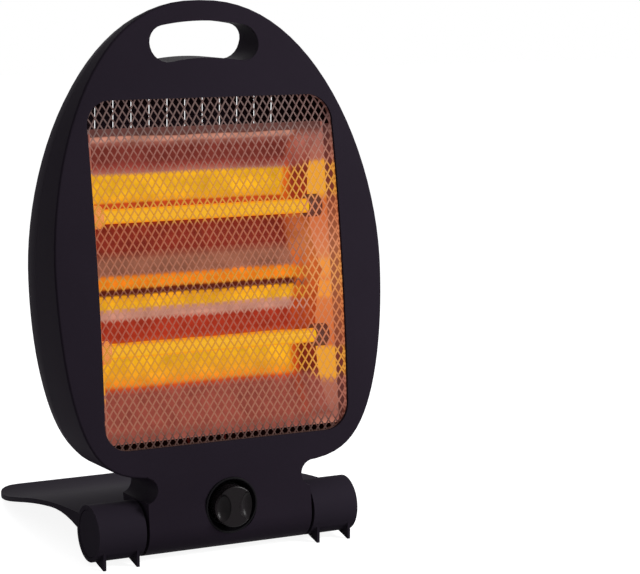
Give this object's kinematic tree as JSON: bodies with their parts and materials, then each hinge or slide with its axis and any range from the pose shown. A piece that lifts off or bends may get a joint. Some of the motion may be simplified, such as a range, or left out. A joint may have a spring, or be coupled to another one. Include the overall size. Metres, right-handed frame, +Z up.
{
  "type": "halogen heater",
  "caption": "Table-top halogen heater: egg-shaped head with quartz tubes and a trough reflector behind a diamond mesh, tilting on a low curved stand",
  "frame": {"origin": "On the floor, in the middle of the footprint: midway between the left and right sides of the head, and midway between the knob's front and the stand plate's rear edge", "axes": "+Z up; +X to the right as seen from the front; +Y to the back, so the glowing window faces -Y"},
  "size_m": [0.247, 0.2574, 0.38],
  "materials": {
    "shell_plastic": "dark charcoal, satin and very finely grained",
    "stand_plastic": "dark charcoal, smoother satin",
    "knob_plastic": "dark charcoal, semi-gloss",
    "bush_plastic": "natural acetal",
    "rubber": "matt black rubber",
    "steel": "zinc-plated steel",
    "guard_metal": "bright plated expanded mesh",
    "reflector_metal": "bright rolled aluminium",
    "quartz": "clear quartz, lit from inside",
    "heating_wire": "resistance wire at orange heat",
    "ceramic": "unglazed steatite",
    "switch_plastic": "heat-resistant moulded plastic",
    "wire_sleeve": "braided glass-fibre sleeve"
  },
  "bodies": {
    "stand": {"stand": "stand_plastic", "knuckle_cap_left": "stand_plastic", "knuckle_cap_right": "stand_plastic", "foot_pads": "rubber", "pivot_bolt_left": "steel", "pivot_bolt_right": "steel", "pivot_springs": "steel", "pivot_nuts": "steel"},
    "head": {"hinge_bush_left": "bush_plastic", "hinge_bush_right": "bush_plastic", "front_shell": "shell_plastic", "back_shell": "shell_plastic", "shell_screws": "steel", "guard_mesh": "guard_metal", "guard_rim": "guard_metal", "reflector": "reflector_metal", "reflector_end_left": "reflector_metal", "reflector_end_right": "reflector_metal", "reflector_screws": "steel", "quartz_tube_upper": "quartz", "quartz_tube_lower": "quartz", "heating_coil_upper": "heating_wire", "heating_coil_lower": "heating_wire", "ceramic_caps_left": "ceramic", "ceramic_caps_right": "ceramic", "tube_bracket_left": "steel", "tube_bracket_right": "steel", "thermal_cutout": "switch_plastic", "terminal_block": "switch_plastic", "tip_over_switch": "switch_plastic", "rotary_switch": "switch_plastic", "knob_dish": "knob_plastic", "cord_gland": "rubber", "lead_wires": "wire_sleeve"},
    "knob": {"knob": "knob_plastic", "switch_shaft": "steel"}
  },
  "joints": [
    {"name": "head_tilt", "type": "hinge", "parent": "stand", "child": "head", "pos_m": [0, -0.10425, 0.023], "axis": [1, 0, 0], "range_deg": [-20, 10]},
    {"name": "knob_turn", "type": "hinge", "parent": "head", "child": "knob", "pos_m": [0, -0.10425, 0.0355], "axis": [0, -1, 0], "range_deg": [0, 180]}
  ]
}
